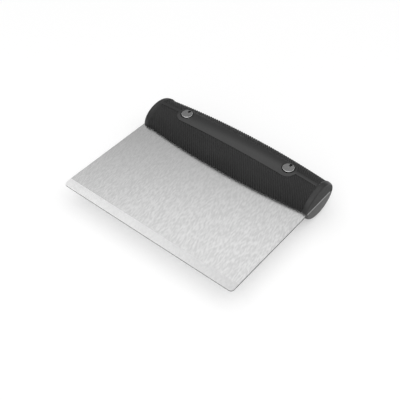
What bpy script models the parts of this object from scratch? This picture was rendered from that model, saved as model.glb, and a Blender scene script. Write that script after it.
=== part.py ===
"""Griddle scraper: a wide steel blade clamped between two barrel-shaped grip halves.

Run it with: blender --background --python part.py

Units are metres and +Z is up. The blade lies level, with its scraping edge towards -Y
and the grip towards +Y. X runs along the edge. The origin is under the middle of the
whole tool, on the plane that the lower grip half touches.
"""

import math

import bmesh
import bpy
from mathutils import Matrix, Vector

# Blade
BLADE_WIDTH = 0.1524
BLADE_THICKNESS = 0.0012
EDGE_TO_GRIP_CENTRE = 0.1020
EDGE_THICKNESS = 0.0006
GROUND_WIDTH = 0.0070
FRONT_CORNER_RADIUS = 0.0026
TANG_CORNER_RADIUS = 0.0020

# Grip, a barrel along X that is flattened in height and split at the blade
GRIP_DEPTH_MIDDLE = 0.0408
GRIP_DEPTH_END = 0.0321
GRIP_THICKNESS_MIDDLE = 0.0310
RIM_WIDTH = 0.0041
RIM_HEIGHT = 0.0007
RIM_EDGE_RADIUS = 0.0016
BAND_WIDTH = 0.0140
BAND_HEIGHT = 0.00035
TANG_LIP = 0.0004

# Hollow cells that open on the face that clamps the blade
SHELL_WALL = 0.0030
END_WALL = 0.0060
CLAMP_LAND = 0.0030
WEB_THICKNESS = 0.0015
CELLS_BETWEEN_FASTENERS = 7
BOSS_WALL = 0.0015

# Fasteners, a barrel nut from above and a screw from below
FASTENER_SPACING = 0.0936
FASTENER_BACKSET = 0.0010
HEAD_DIAMETER = 0.0090
HEAD_THICKNESS = 0.0020
HEAD_CHAMFER = 0.0004
HEAD_PROUD = 0.0004
SCREW_RECESS = 0.0003
NOTCH_WIDTH = 0.0020
NOTCH_DEPTH = 0.0030
POST_DIAMETER = 0.0050
POST_BORE_DIAMETER = 0.0040
POST_CAP = 0.0010
POST_REACH = 0.0050
THREAD_LENGTH = 0.0100
DRIVE_LENGTH = 0.0044
DRIVE_WIDTH = 0.0011
DRIVE_DEPTH = 0.0012

# Clearance left between neighbouring pieces
GAP = 0.0003

# Distance within which doubled points are welded
WELD = 1e-7

# Facets of a full turn, for the grip and for the small turned pieces
GRIP_STEPS = 64
SMALL_STEPS = 32
BARREL_SPANS = 16
ROUND_SPANS = 4

# Positions that follow from the sizes above
HALF_WIDTH = BLADE_WIDTH / 2
FLATTENING = GRIP_THICKNESS_MIDDLE / GRIP_DEPTH_MIDDLE
SMOOTH_RADIUS_MIDDLE = GRIP_DEPTH_MIDDLE / 2 + BAND_HEIGHT
EDGE_Y = -(EDGE_TO_GRIP_CENTRE + GRIP_DEPTH_MIDDLE / 2) / 2
GRIP_Y = EDGE_Y + EDGE_TO_GRIP_CENTRE
PARTING_Z = SMOOTH_RADIUS_MIDDLE * FLATTENING
BLADE_TOP_Z = PARTING_Z + BLADE_THICKNESS / 2
BLADE_BOTTOM_Z = PARTING_Z - BLADE_THICKNESS / 2
END_FACE_RADIUS = GRIP_DEPTH_END / 2 + RIM_HEIGHT - RIM_EDGE_RADIUS
TANG_REACH = END_FACE_RADIUS - TANG_LIP - GAP
HEAD_RADIUS = HEAD_DIAMETER / 2
POST_RADIUS = POST_DIAMETER / 2
COUNTERBORE_RADIUS = HEAD_RADIUS + GAP
FASTENER_X = FASTENER_SPACING / 2
FASTENER_Y = GRIP_Y + FASTENER_BACKSET
SIDES = (("left", -FASTENER_X), ("right", FASTENER_X))
BEYOND = GRIP_DEPTH_MIDDLE


def grip_radius(x, raised):
    """Half depth of the grip at x, on its ribbed level plus a raised height."""
    bulge = (GRIP_DEPTH_MIDDLE - GRIP_DEPTH_END) / 2
    return GRIP_DEPTH_END / 2 + bulge * (1 - (x / HALF_WIDTH) ** 2) + raised


BAND_LEVEL = grip_radius(FASTENER_X, BAND_HEIGHT) * FLATTENING
HEAD_LEVEL = BAND_LEVEL + HEAD_PROUD
SEAT_LEVEL = HEAD_LEVEL - HEAD_THICKNESS
SCREW_LEVEL = BAND_LEVEL - SCREW_RECESS
SCREW_SEAT_LEVEL = SCREW_LEVEL - HEAD_THICKNESS


def clear_scene():
    """Remove every object and collection of the open file."""
    for obj in list(bpy.data.objects):
        bpy.data.objects.remove(obj)
    for collection in list(bpy.data.collections):
        bpy.data.collections.remove(collection)


def new_collection(name):
    collection = bpy.data.collections.new(name)
    bpy.context.scene.collection.children.link(collection)
    return collection


def make_material(name, colour, roughness, metallic):
    material = bpy.data.materials.new(name)
    material.use_nodes = True
    material.diffuse_color = (*colour, 1.0)
    shader = material.node_tree.nodes["Principled BSDF"]
    shader.inputs["Base Color"].default_value = (*colour, 1.0)
    shader.inputs["Roughness"].default_value = roughness
    shader.inputs["Metallic"].default_value = metallic
    return material


def add_mesh_object(name, mesh, collection):
    obj = bpy.data.objects.new(name, mesh)
    collection.objects.link(obj)
    return obj


def add_cutter(name, mesh):
    """Link a mesh as a guide that cuts or joins, and that is not a piece itself."""
    obj = add_mesh_object(name, mesh, cutters)
    obj.hide_render = True
    obj.display_type = "WIRE"
    return obj


def evaluated_mesh(obj):
    """Mesh of an object with its modifiers applied, welded, with its place in it."""
    bpy.context.view_layer.update()
    depsgraph = bpy.context.evaluated_depsgraph_get()
    mesh = bpy.data.meshes.new_from_object(obj.evaluated_get(depsgraph))
    mesh.transform(obj.matrix_world)
    body = bmesh.new()
    body.from_mesh(mesh)
    bmesh.ops.remove_doubles(body, verts=body.verts, dist=WELD)
    bmesh.ops.recalc_face_normals(body, faces=body.faces)
    body.to_mesh(mesh)
    body.free()
    return mesh


def box(name, low, high):
    """Cutter box between two corners."""
    low, high = Vector(low), Vector(high)
    body = bmesh.new()
    bmesh.ops.create_cube(body, size=1.0)
    bmesh.ops.scale(body, vec=high - low, verts=body.verts)
    bmesh.ops.translate(body, vec=(low + high) / 2, verts=body.verts)
    mesh = bpy.data.meshes.new(name)
    body.to_mesh(mesh)
    body.free()
    return add_cutter(name, mesh)


def prism(name, outline, bottom, top):
    """Cutter with a flat outline of (x, y) points between two heights."""
    curve = bpy.data.curves.new(name, "CURVE")
    curve.dimensions = "2D"
    curve.fill_mode = "BOTH"
    curve.extrude = (top - bottom) / 2
    spline = curve.splines.new("POLY")
    spline.points.add(len(outline) - 1)
    for point, (x, y) in zip(spline.points, outline):
        point.co = (x, y, 0.0, 1.0)
    spline.use_cyclic_u = True
    guide = add_mesh_object(name, curve, cutters)
    guide.location.z = (top + bottom) / 2
    mesh = evaluated_mesh(guide)
    bpy.data.objects.remove(guide)
    return add_cutter(name, mesh)


def turned(name, profile, steps, matrix):
    """Cutter turned from (radius, height) points that run down its outer side."""
    mesh = bpy.data.meshes.new(name)
    points = [(radius, 0.0, height) for radius, height in profile]
    edges = [(index, index + 1) for index in range(len(points) - 1)]
    mesh.from_pydata(points, edges, [])
    guide = add_mesh_object(name, mesh, cutters)
    screw = guide.modifiers.new("Turn", "SCREW")
    screw.axis = "Z"
    screw.steps = steps
    screw.render_steps = steps
    screw.use_merge_vertices = True
    screw.merge_threshold = WELD
    guide.matrix_world = matrix
    result = evaluated_mesh(guide)
    bpy.data.objects.remove(guide)
    return add_cutter(name, result)


def arc(centre, radius, start, stop, spans):
    """Points of an arc around a centre, with its angles in degrees."""
    points = []
    for index in range(spans + 1):
        angle = math.radians(start + (stop - start) * index / spans)
        x = centre[0] + radius * math.cos(angle)
        y = centre[1] + radius * math.sin(angle)
        points.append((x, y))
    return points


def racetrack(start, stop, width, spans):
    """Outline with straight sides and round ends around two points."""
    run = Vector(stop) - Vector(start)
    heading = math.degrees(math.atan2(run.y, run.x))
    around_stop = arc(stop, width / 2, heading - 90, heading + 90, spans)
    around_start = arc(start, width / 2, heading + 90, heading + 270, spans)
    return around_stop + around_start


def combine(target, other, operation):
    """Add a Boolean modifier, with the solver that Blender uses by default."""
    modifier = target.modifiers.new(other.name, "BOOLEAN")
    modifier.operation = operation
    modifier.object = other
    modifier.solver = "EXACT"


def finish(name, source, material):
    """Turn a built-up guide into a named piece with clean shading."""
    mesh = evaluated_mesh(source)
    mesh.name = name
    mesh.materials.clear()
    mesh.materials.append(material)
    mesh.shade_smooth()
    mesh.set_sharp_from_angle(angle=math.radians(30))
    return add_mesh_object(name, mesh, parts)


def grip_frame():
    """Matrix from a turned shape's own axes to the flattened grip."""
    lie_down = Matrix.Rotation(math.radians(90), 4, "Y")
    flatten = Matrix.Diagonal((1.0, 1.0, FLATTENING, 1.0))
    return Matrix.Translation((0.0, GRIP_Y, PARTING_Z)) @ flatten @ lie_down


def fastener_frame(x):
    """Matrix of a fastener's axis, with its height measured from the parting plane."""
    return Matrix.Translation((x, FASTENER_Y, PARTING_Z))


def barrel(name, half_length, raised):
    """Plain barrel of the grip, its radius raised or sunk from the ribbed level."""
    profile = [(0.0, half_length)]
    for index in range(BARREL_SPANS + 1):
        x = half_length * (1 - 2 * index / BARREL_SPANS)
        profile.append((grip_radius(x, raised), x))
    profile.append((0.0, -half_length))
    return turned(name, profile, GRIP_STEPS, grip_frame())


def rimmed_barrel():
    """Barrel of the grip with its two smooth rims, rounded where they meet the ends."""
    shoulder = HALF_WIDTH - RIM_WIDTH
    edge_x = HALF_WIDTH - RIM_EDGE_RADIUS
    rim = arc((END_FACE_RADIUS, edge_x), RIM_EDGE_RADIUS, 90, 0, ROUND_SPANS)
    rim.append((grip_radius(shoulder, RIM_HEIGHT), shoulder))
    half = [(0.0, HALF_WIDTH)] + rim
    inner = shoulder - RIM_HEIGHT
    for index in range(BARREL_SPANS // 2):
        x = inner * (1 - 2 * index / BARREL_SPANS)
        half.append((grip_radius(x, 0.0), x))
    middle = [(grip_radius(0.0, 0.0), 0.0)]
    mirrored = [(radius, -x) for radius, x in reversed(half)]
    return turned("grip_barrel", half + middle + mirrored, GRIP_STEPS, grip_frame())


def tang_space():
    """Slot that the blade takes between the grip halves, open at both ends."""
    low = (-HALF_WIDTH - BEYOND, EDGE_Y - BEYOND, BLADE_BOTTOM_Z - GAP)
    high = (HALF_WIDTH + BEYOND, GRIP_Y + TANG_REACH + GAP, BLADE_TOP_Z + GAP)
    return box("tang_space", low, high)


def cell_walls():
    """Cross webs on an even pitch that puts one through each fastener boss."""
    pitch = FASTENER_SPACING / CELLS_BETWEEN_FASTENERS
    reach = HALF_WIDTH - END_WALL
    outside = int((reach - FASTENER_X) / pitch)
    walls = []
    for index in range(-outside, CELLS_BETWEEN_FASTENERS + outside + 1):
        x = -FASTENER_X + index * pitch
        low = (x - WEB_THICKNESS / 2, GRIP_Y - BEYOND, -BEYOND)
        high = (x + WEB_THICKNESS / 2, GRIP_Y + BEYOND, PARTING_Z + BEYOND)
        walls.append(box(f"cross_web_{index + outside}", low, high))
    return walls


def cells():
    """Hollow cells of both grip halves, between their walls, webs and bosses."""
    core = barrel("cells", HALF_WIDTH - END_WALL, -SHELL_WALL)
    reach = TANG_REACH - CLAMP_LAND
    low = (-HALF_WIDTH, GRIP_Y - reach, -BEYOND)
    high = (HALF_WIDTH, GRIP_Y + reach, PARTING_Z + BEYOND)
    combine(core, box("cell_limits", low, high), "INTERSECT")
    low = (-HALF_WIDTH, GRIP_Y - WEB_THICKNESS / 2, -BEYOND)
    high = (HALF_WIDTH, GRIP_Y + WEB_THICKNESS / 2, PARTING_Z + BEYOND)
    combine(core, box("spine_web", low, high), "DIFFERENCE")
    for wall in cell_walls():
        combine(core, wall, "DIFFERENCE")
    boss_radius = COUNTERBORE_RADIUS + BOSS_WALL
    for side, x in SIDES:
        profile = [(0.0, BEYOND), (boss_radius, BEYOND), (boss_radius, -BEYOND), (0.0, -BEYOND)]
        boss = turned(f"boss_{side}", profile, SMALL_STEPS, fastener_frame(x))
        combine(core, boss, "DIFFERENCE")
    return core


def fastener_space(side, x):
    """Counterbores and holes of one fastener, with the key that stops it turning."""
    wide = COUNTERBORE_RADIUS
    post = POST_RADIUS + GAP
    shank = POST_BORE_DIAMETER / 2
    seat = SEAT_LEVEL - GAP
    screw_seat = SCREW_SEAT_LEVEL - GAP
    post_end = -POST_REACH - GAP
    profile = [
        (0.0, BEYOND),
        (wide, BEYOND),
        (wide, seat),
        (post, seat),
        (post, post_end),
        (shank, post_end),
        (shank, -screw_seat),
        (wide, -screw_seat),
        (wide, -BEYOND),
        (0.0, -BEYOND),
    ]
    space = turned(f"fastener_space_{side}", profile, SMALL_STEPS, fastener_frame(x))
    key_width = NOTCH_WIDTH - 2 * GAP
    inner = (x, FASTENER_Y + post + GAP + key_width / 2)
    outer = (x, FASTENER_Y + wide + key_width)
    outline = racetrack(inner, outer, key_width, ROUND_SPANS)
    bottom = PARTING_Z + seat - GAP
    top = PARTING_Z + BAND_LEVEL - GAP
    combine(space, prism(f"key_{side}", outline, bottom, top), "DIFFERENCE")
    return space


def build_blade(spaces, material):
    """Plate with a ground scraping edge and a hole for each fastener."""
    front = EDGE_Y
    rear = GRIP_Y + TANG_REACH
    outline = []
    corners = (
        (1, front, FRONT_CORNER_RADIUS, -90),
        (1, rear, TANG_CORNER_RADIUS, 0),
        (-1, rear, TANG_CORNER_RADIUS, 90),
        (-1, front, FRONT_CORNER_RADIUS, 180),
    )
    for side, y, radius, start in corners:
        inward = radius if y == front else -radius
        centre = (side * (HALF_WIDTH - radius), y + inward)
        outline += arc(centre, radius, start, start + 90, ROUND_SPANS)
    plate = prism("blade_plate", outline, BLADE_BOTTOM_Z, BLADE_TOP_Z)
    slope = math.atan2(BLADE_THICKNESS - EDGE_THICKNESS, GROUND_WIDTH)
    low = (-HALF_WIDTH - BEYOND, -BEYOND, 0.0)
    stone = box("ground_edge", low, (HALF_WIDTH + BEYOND, 0.0, BEYOND))
    hinge = Matrix.Translation((0.0, front + GROUND_WIDTH, BLADE_TOP_Z))
    stone.matrix_world = hinge @ Matrix.Rotation(slope, 4, "X")
    combine(plate, stone, "DIFFERENCE")
    for space in spaces:
        combine(plate, space, "DIFFERENCE")
    return finish("blade", plate, material)


def build_grip(name, upwards, spaces, slot, hollow, material):
    """One grip half: a split barrel with smooth rims, a smooth band and its cells."""
    half = rimmed_barrel()
    smooth = barrel(f"{name}_band", HALF_WIDTH - RIM_WIDTH, BAND_HEIGHT)
    outline = racetrack((-FASTENER_X, GRIP_Y), (FASTENER_X, GRIP_Y), BAND_WIDTH, 2 * ROUND_SPANS)
    bottom = PARTING_Z if upwards else -BEYOND
    top = PARTING_Z + BEYOND if upwards else PARTING_Z
    combine(smooth, prism(f"{name}_band_outline", outline, bottom, top), "INTERSECT")
    combine(half, smooth, "UNION")
    bottom = -BEYOND if upwards else PARTING_Z - GAP / 2
    top = PARTING_Z + GAP / 2 if upwards else PARTING_Z + BEYOND
    low = (-HALF_WIDTH - BEYOND, GRIP_Y - BEYOND, bottom)
    high = (HALF_WIDTH + BEYOND, GRIP_Y + BEYOND, top)
    combine(half, box(f"{name}_other_half", low, high), "DIFFERENCE")
    combine(half, slot, "DIFFERENCE")
    combine(half, hollow, "DIFFERENCE")
    for space in spaces:
        combine(half, space, "DIFFERENCE")
    return finish(name, half, material)


def build_barrel_nut(side, x, material):
    """Barrel nut with a flat head that is notched for its key, and a blind bore."""
    bore = POST_BORE_DIAMETER / 2
    profile = [
        (0.0, HEAD_LEVEL),
        (HEAD_RADIUS - HEAD_CHAMFER, HEAD_LEVEL),
        (HEAD_RADIUS, HEAD_LEVEL - HEAD_CHAMFER),
        (HEAD_RADIUS, SEAT_LEVEL),
        (POST_RADIUS, SEAT_LEVEL),
        (POST_RADIUS, -POST_REACH),
        (bore, -POST_REACH),
        (bore, SEAT_LEVEL - POST_CAP),
        (0.0, SEAT_LEVEL - POST_CAP),
    ]
    nut = turned(f"nut_{side}", profile, SMALL_STEPS, fastener_frame(x))
    notch_end = FASTENER_Y + HEAD_RADIUS - NOTCH_DEPTH + NOTCH_WIDTH / 2
    notch_mouth = FASTENER_Y + 2 * HEAD_RADIUS
    outline = racetrack((x, notch_end), (x, notch_mouth), NOTCH_WIDTH, ROUND_SPANS)
    bottom = PARTING_Z + SEAT_LEVEL
    top = PARTING_Z + HEAD_LEVEL + HEAD_THICKNESS
    combine(nut, prism(f"notch_{side}", outline, bottom, top), "DIFFERENCE")
    return finish(f"barrel_nut_{side}", nut, material)


def build_screw(side, x, material):
    """Screw from below, with a flat head that has a cross-shaped drive."""
    shank = POST_BORE_DIAMETER / 2 - GAP
    tip = -SCREW_SEAT_LEVEL + HEAD_THICKNESS + THREAD_LENGTH
    profile = [
        (0.0, tip),
        (shank - HEAD_CHAMFER, tip),
        (shank, tip - HEAD_CHAMFER),
        (shank, -SCREW_SEAT_LEVEL),
        (HEAD_RADIUS, -SCREW_SEAT_LEVEL),
        (HEAD_RADIUS, -SCREW_LEVEL + HEAD_CHAMFER),
        (HEAD_RADIUS - HEAD_CHAMFER, -SCREW_LEVEL),
        (0.0, -SCREW_LEVEL),
    ]
    screw = turned(f"screw_blank_{side}", profile, SMALL_STEPS, fastener_frame(x))
    bottom = PARTING_Z - SCREW_LEVEL - DRIVE_DEPTH
    top = PARTING_Z - SCREW_LEVEL + DRIVE_DEPTH
    for name, size in (("across", (DRIVE_LENGTH, DRIVE_WIDTH)), ("along", (DRIVE_WIDTH, DRIVE_LENGTH))):
        low = (x - size[0] / 2, FASTENER_Y - size[1] / 2, bottom)
        high = (x + size[0] / 2, FASTENER_Y + size[1] / 2, top)
        combine(screw, box(f"drive_{name}_{side}", low, high), "DIFFERENCE")
    return finish(f"screw_{side}", screw, material)


clear_scene()
parts = new_collection("griddle_scraper")
cutters = new_collection("cutters")

blade_steel = make_material("brushed_blade_steel", (0.60, 0.60, 0.60), 0.38, 1.0)
fastener_steel = make_material("fastener_steel", (0.45, 0.45, 0.45), 0.30, 1.0)
grip_plastic = make_material("black_grip_plastic", (0.035, 0.035, 0.035), 0.50, 0.0)

fastener_spaces = [fastener_space(side, x) for side, x in SIDES]
slot_cutter = tang_space()
cell_cutter = cells()

build_blade(fastener_spaces, blade_steel)
build_grip("upper_grip", True, fastener_spaces, slot_cutter, cell_cutter, grip_plastic)
build_grip("lower_grip", False, fastener_spaces, slot_cutter, cell_cutter, grip_plastic)
for side_name, side_x in SIDES:
    build_barrel_nut(side_name, side_x, fastener_steel)
    build_screw(side_name, side_x, fastener_steel)
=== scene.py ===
"""Griddle scraper: the looks of every piece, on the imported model's frame.

A brushed steel blade is clamped by two binding fasteners between the ribbed halves of a
black moulded grip. Every length here is in metres, in the frame's own axes: X runs along
the scraping edge, +Y goes from that edge towards the grip, and +Z is up.
"""

import logging
import math
from collections.abc import Callable, Iterator, Sequence
from contextlib import contextmanager
from dataclasses import dataclass
from enum import Enum

import bmesh
import bpy
from mathutils import Matrix, Vector


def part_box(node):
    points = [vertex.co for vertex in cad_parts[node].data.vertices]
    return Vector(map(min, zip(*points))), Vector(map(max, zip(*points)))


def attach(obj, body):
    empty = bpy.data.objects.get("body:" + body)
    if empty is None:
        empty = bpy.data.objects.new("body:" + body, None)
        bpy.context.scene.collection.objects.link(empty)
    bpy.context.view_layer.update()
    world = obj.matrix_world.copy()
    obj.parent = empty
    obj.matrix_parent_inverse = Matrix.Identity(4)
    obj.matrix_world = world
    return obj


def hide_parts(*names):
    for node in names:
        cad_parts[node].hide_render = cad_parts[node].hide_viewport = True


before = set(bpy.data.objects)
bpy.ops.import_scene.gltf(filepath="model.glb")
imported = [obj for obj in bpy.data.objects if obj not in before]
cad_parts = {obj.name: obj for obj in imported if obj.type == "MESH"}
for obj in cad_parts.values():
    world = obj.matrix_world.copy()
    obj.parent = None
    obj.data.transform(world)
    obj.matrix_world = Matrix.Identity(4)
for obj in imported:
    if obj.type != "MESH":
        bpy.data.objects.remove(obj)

Piece = bpy.types.Object
Socket = bpy.types.NodeSocket
Numbers = Sequence[float]
Pairs = Sequence[tuple[float, float]]

LOG = logging.getLogger("griddle_scraper")
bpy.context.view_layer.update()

# Gap that keeps the slot's faces clear of the blade's
SLOT_PLAY = 0.00005

# Nearly all values of a noise lie between these
NOISE_LOW, NOISE_HIGH = 0.3, 0.7

# Sides of a circle, from the grip's barrel down to the end of a notch
BARREL_SIDES = 128
POST_SIDES = 96
PLAIN_SIDES = 64
NOTCH_SIDES = 32


# Hand moves that every piece is modelled with


def deselect_all() -> None:
    """Leave object mode with nothing selected."""
    if bpy.context.object and bpy.context.object.mode != "OBJECT":
        bpy.ops.object.mode_set(mode="OBJECT")
    bpy.ops.object.select_all(action="DESELECT")


def pick(obj: Piece) -> None:
    """Make one object the only selected one, and the active one.

    Args:
        obj: The object.
    """
    deselect_all()
    obj.select_set(True)
    bpy.context.view_layer.objects.active = obj


@contextmanager
def edit_mode(obj: Piece) -> Iterator[None]:
    """Open a piece in edit mode with nothing selected, and close it at the end.

    Args:
        obj: The piece.

    Yields:
        Nothing, while the piece is open.
    """
    pick(obj)
    bpy.ops.object.mode_set(mode="EDIT")
    bpy.ops.mesh.select_all(action="DESELECT")
    yield
    bpy.ops.object.mode_set(mode="OBJECT")


def select_edges(obj: Piece, test: Callable[[Vector, Vector], bool]) -> None:
    """Select the edit mesh's edges whose two ends pass a test together.

    Args:
        obj: The piece.
        test: Says of the places of an edge's ends whether it is selected.
    """
    mesh = bmesh.from_edit_mesh(obj.data)
    bpy.ops.mesh.select_all(action="DESELECT")
    for edge in mesh.edges:
        if test(edge.verts[0].co, edge.verts[1].co):
            edge.select_set(True)
    bmesh.update_edit_mesh(obj.data)


def trim_beyond(place: Numbers, outward: Numbers) -> None:
    """Cut away what the edit mesh has beyond a plane, and close the cut."""
    bpy.ops.mesh.select_all(action="SELECT")
    bpy.ops.mesh.bisect(plane_co=place, plane_no=outward, use_fill=True, clear_outer=True)


def face_outwards() -> None:
    """Point every face of the edit mesh outwards."""
    bpy.ops.mesh.select_all(action="SELECT")
    bpy.ops.mesh.normals_make_consistent(inside=False)


def settle(name: str) -> Piece:
    """Name the active object and put its place, turn and scale into its mesh.

    Args:
        name: Its new name.

    Returns:
        The object.
    """
    obj = bpy.context.object
    obj.name = name
    obj.data.name = name
    bpy.ops.object.transform_apply(location=True, rotation=True, scale=True)
    return obj


def add_box(name: str, low: Numbers, high: Numbers) -> Piece:
    """Box between its lowest and its highest corner, with its place in its mesh.

    Args:
        name: Name of the new body.
        low: Lowest corner.
        high: Highest corner.

    Returns:
        The new body.
    """
    deselect_all()
    centre = [(a + b) / 2 for a, b in zip(low, high)]
    size = [b - a for a, b in zip(low, high)]
    bpy.ops.mesh.primitive_cube_add(size=1.0, location=centre, scale=size)
    return settle(name)


def add_post(name: str, radius: float, low: Numbers, top: float, sides: int = PLAIN_SIDES) -> Piece:
    """Upright cylinder from the centre of its foot up to a height, with its place in its mesh.

    Args:
        name: Name of the new body.
        radius: Its radius.
        low: Centre of its foot.
        top: Height of its upper end.
        sides: Sides of the circle.

    Returns:
        The new body.
    """
    deselect_all()
    depth = top - low[2]
    place = (low[0], low[1], low[2] + depth / 2)
    bpy.ops.mesh.primitive_cylinder_add(vertices=sides, radius=radius, depth=depth, location=place)
    return settle(name)


def loft_along_x(name: str, rings: Pairs, sides: int, capped: bool = True) -> Piece:
    """Round body about the X axis: a circle is extruded from ring to ring and resized.

    Args:
        name: Name of the new object.
        rings: Place along X and radius of each ring, from left to right.
        sides: Sides of every ring.
        capped: Whether the two ends are closed.

    Returns:
        The new body.
    """
    deselect_all()
    x, radius = rings[0]
    bpy.ops.mesh.primitive_circle_add(
        vertices=sides, radius=radius, fill_type="NOTHING", location=(x, 0, 0), rotation=(0, math.pi / 2, 0)
    )
    obj = settle(name)
    with edit_mode(obj):
        bpy.ops.mesh.select_all(action="SELECT")
        if capped:
            bpy.ops.mesh.edge_face_add()
            bpy.ops.mesh.select_all(action="SELECT")
        for next_x, next_radius in rings[1:]:
            bpy.ops.mesh.extrude_region_move(TRANSFORM_OT_translate={"value": (next_x - x, 0, 0)})
            size = next_radius / radius
            bpy.ops.transform.resize(value=(1, size, size), center_override=(next_x, 0, 0))
            x, radius = next_x, next_radius
        face_outwards()
    return obj


def apply_modifiers(obj: Piece) -> None:
    """Apply every modifier of a piece, from the first to the last.

    Args:
        obj: The piece.
    """
    pick(obj)
    for modifier in list(obj.modifiers):
        bpy.ops.object.modifier_apply(modifier=modifier.name)


class Join(Enum):
    """Ways in which a second body changes a piece."""

    ADD = "UNION"
    CUT = "DIFFERENCE"
    KEEP_COMMON = "INTERSECT"


def combine(obj: Piece, other: Piece, how: Join) -> None:
    """Join, cut or trim a piece with another body, which is used up.

    Args:
        obj: The piece.
        other: The body that changes it.
        how: Whether it is added, cut out or only what both share stays.
    """
    modifier = obj.modifiers.new("Combine", "BOOLEAN")
    modifier.operation = how.value
    modifier.object = other
    modifier.solver = "MANIFOLD"
    apply_modifiers(obj)
    bpy.data.objects.remove(other)


def soften_edges(obj: Piece, width: float, angle: float = 40.0) -> None:
    """Round the edges of a piece that are sharper than an angle in degrees.

    Args:
        obj: The piece.
        width: Width of the rounding.
        angle: Smallest turn from face to face at an edge that is rounded.
    """
    modifier = obj.modifiers.new("Soften", "BEVEL")
    modifier.width = width
    modifier.segments = 2
    modifier.limit_method = "ANGLE"
    modifier.angle_limit = math.radians(angle)
    modifier.harden_normals = False
    apply_modifiers(obj)


def shade(obj: Piece, angle: float) -> None:
    """Shade a piece smooth, apart from the edges sharper than an angle in degrees."""
    pick(obj)
    bpy.ops.object.shade_smooth_by_angle(angle=math.radians(angle))


# Finishes


def grey(level: float) -> tuple[float, float, float, float]:
    """Neutral colour of one linear level."""
    return (level, level, level, 1.0)


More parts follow.
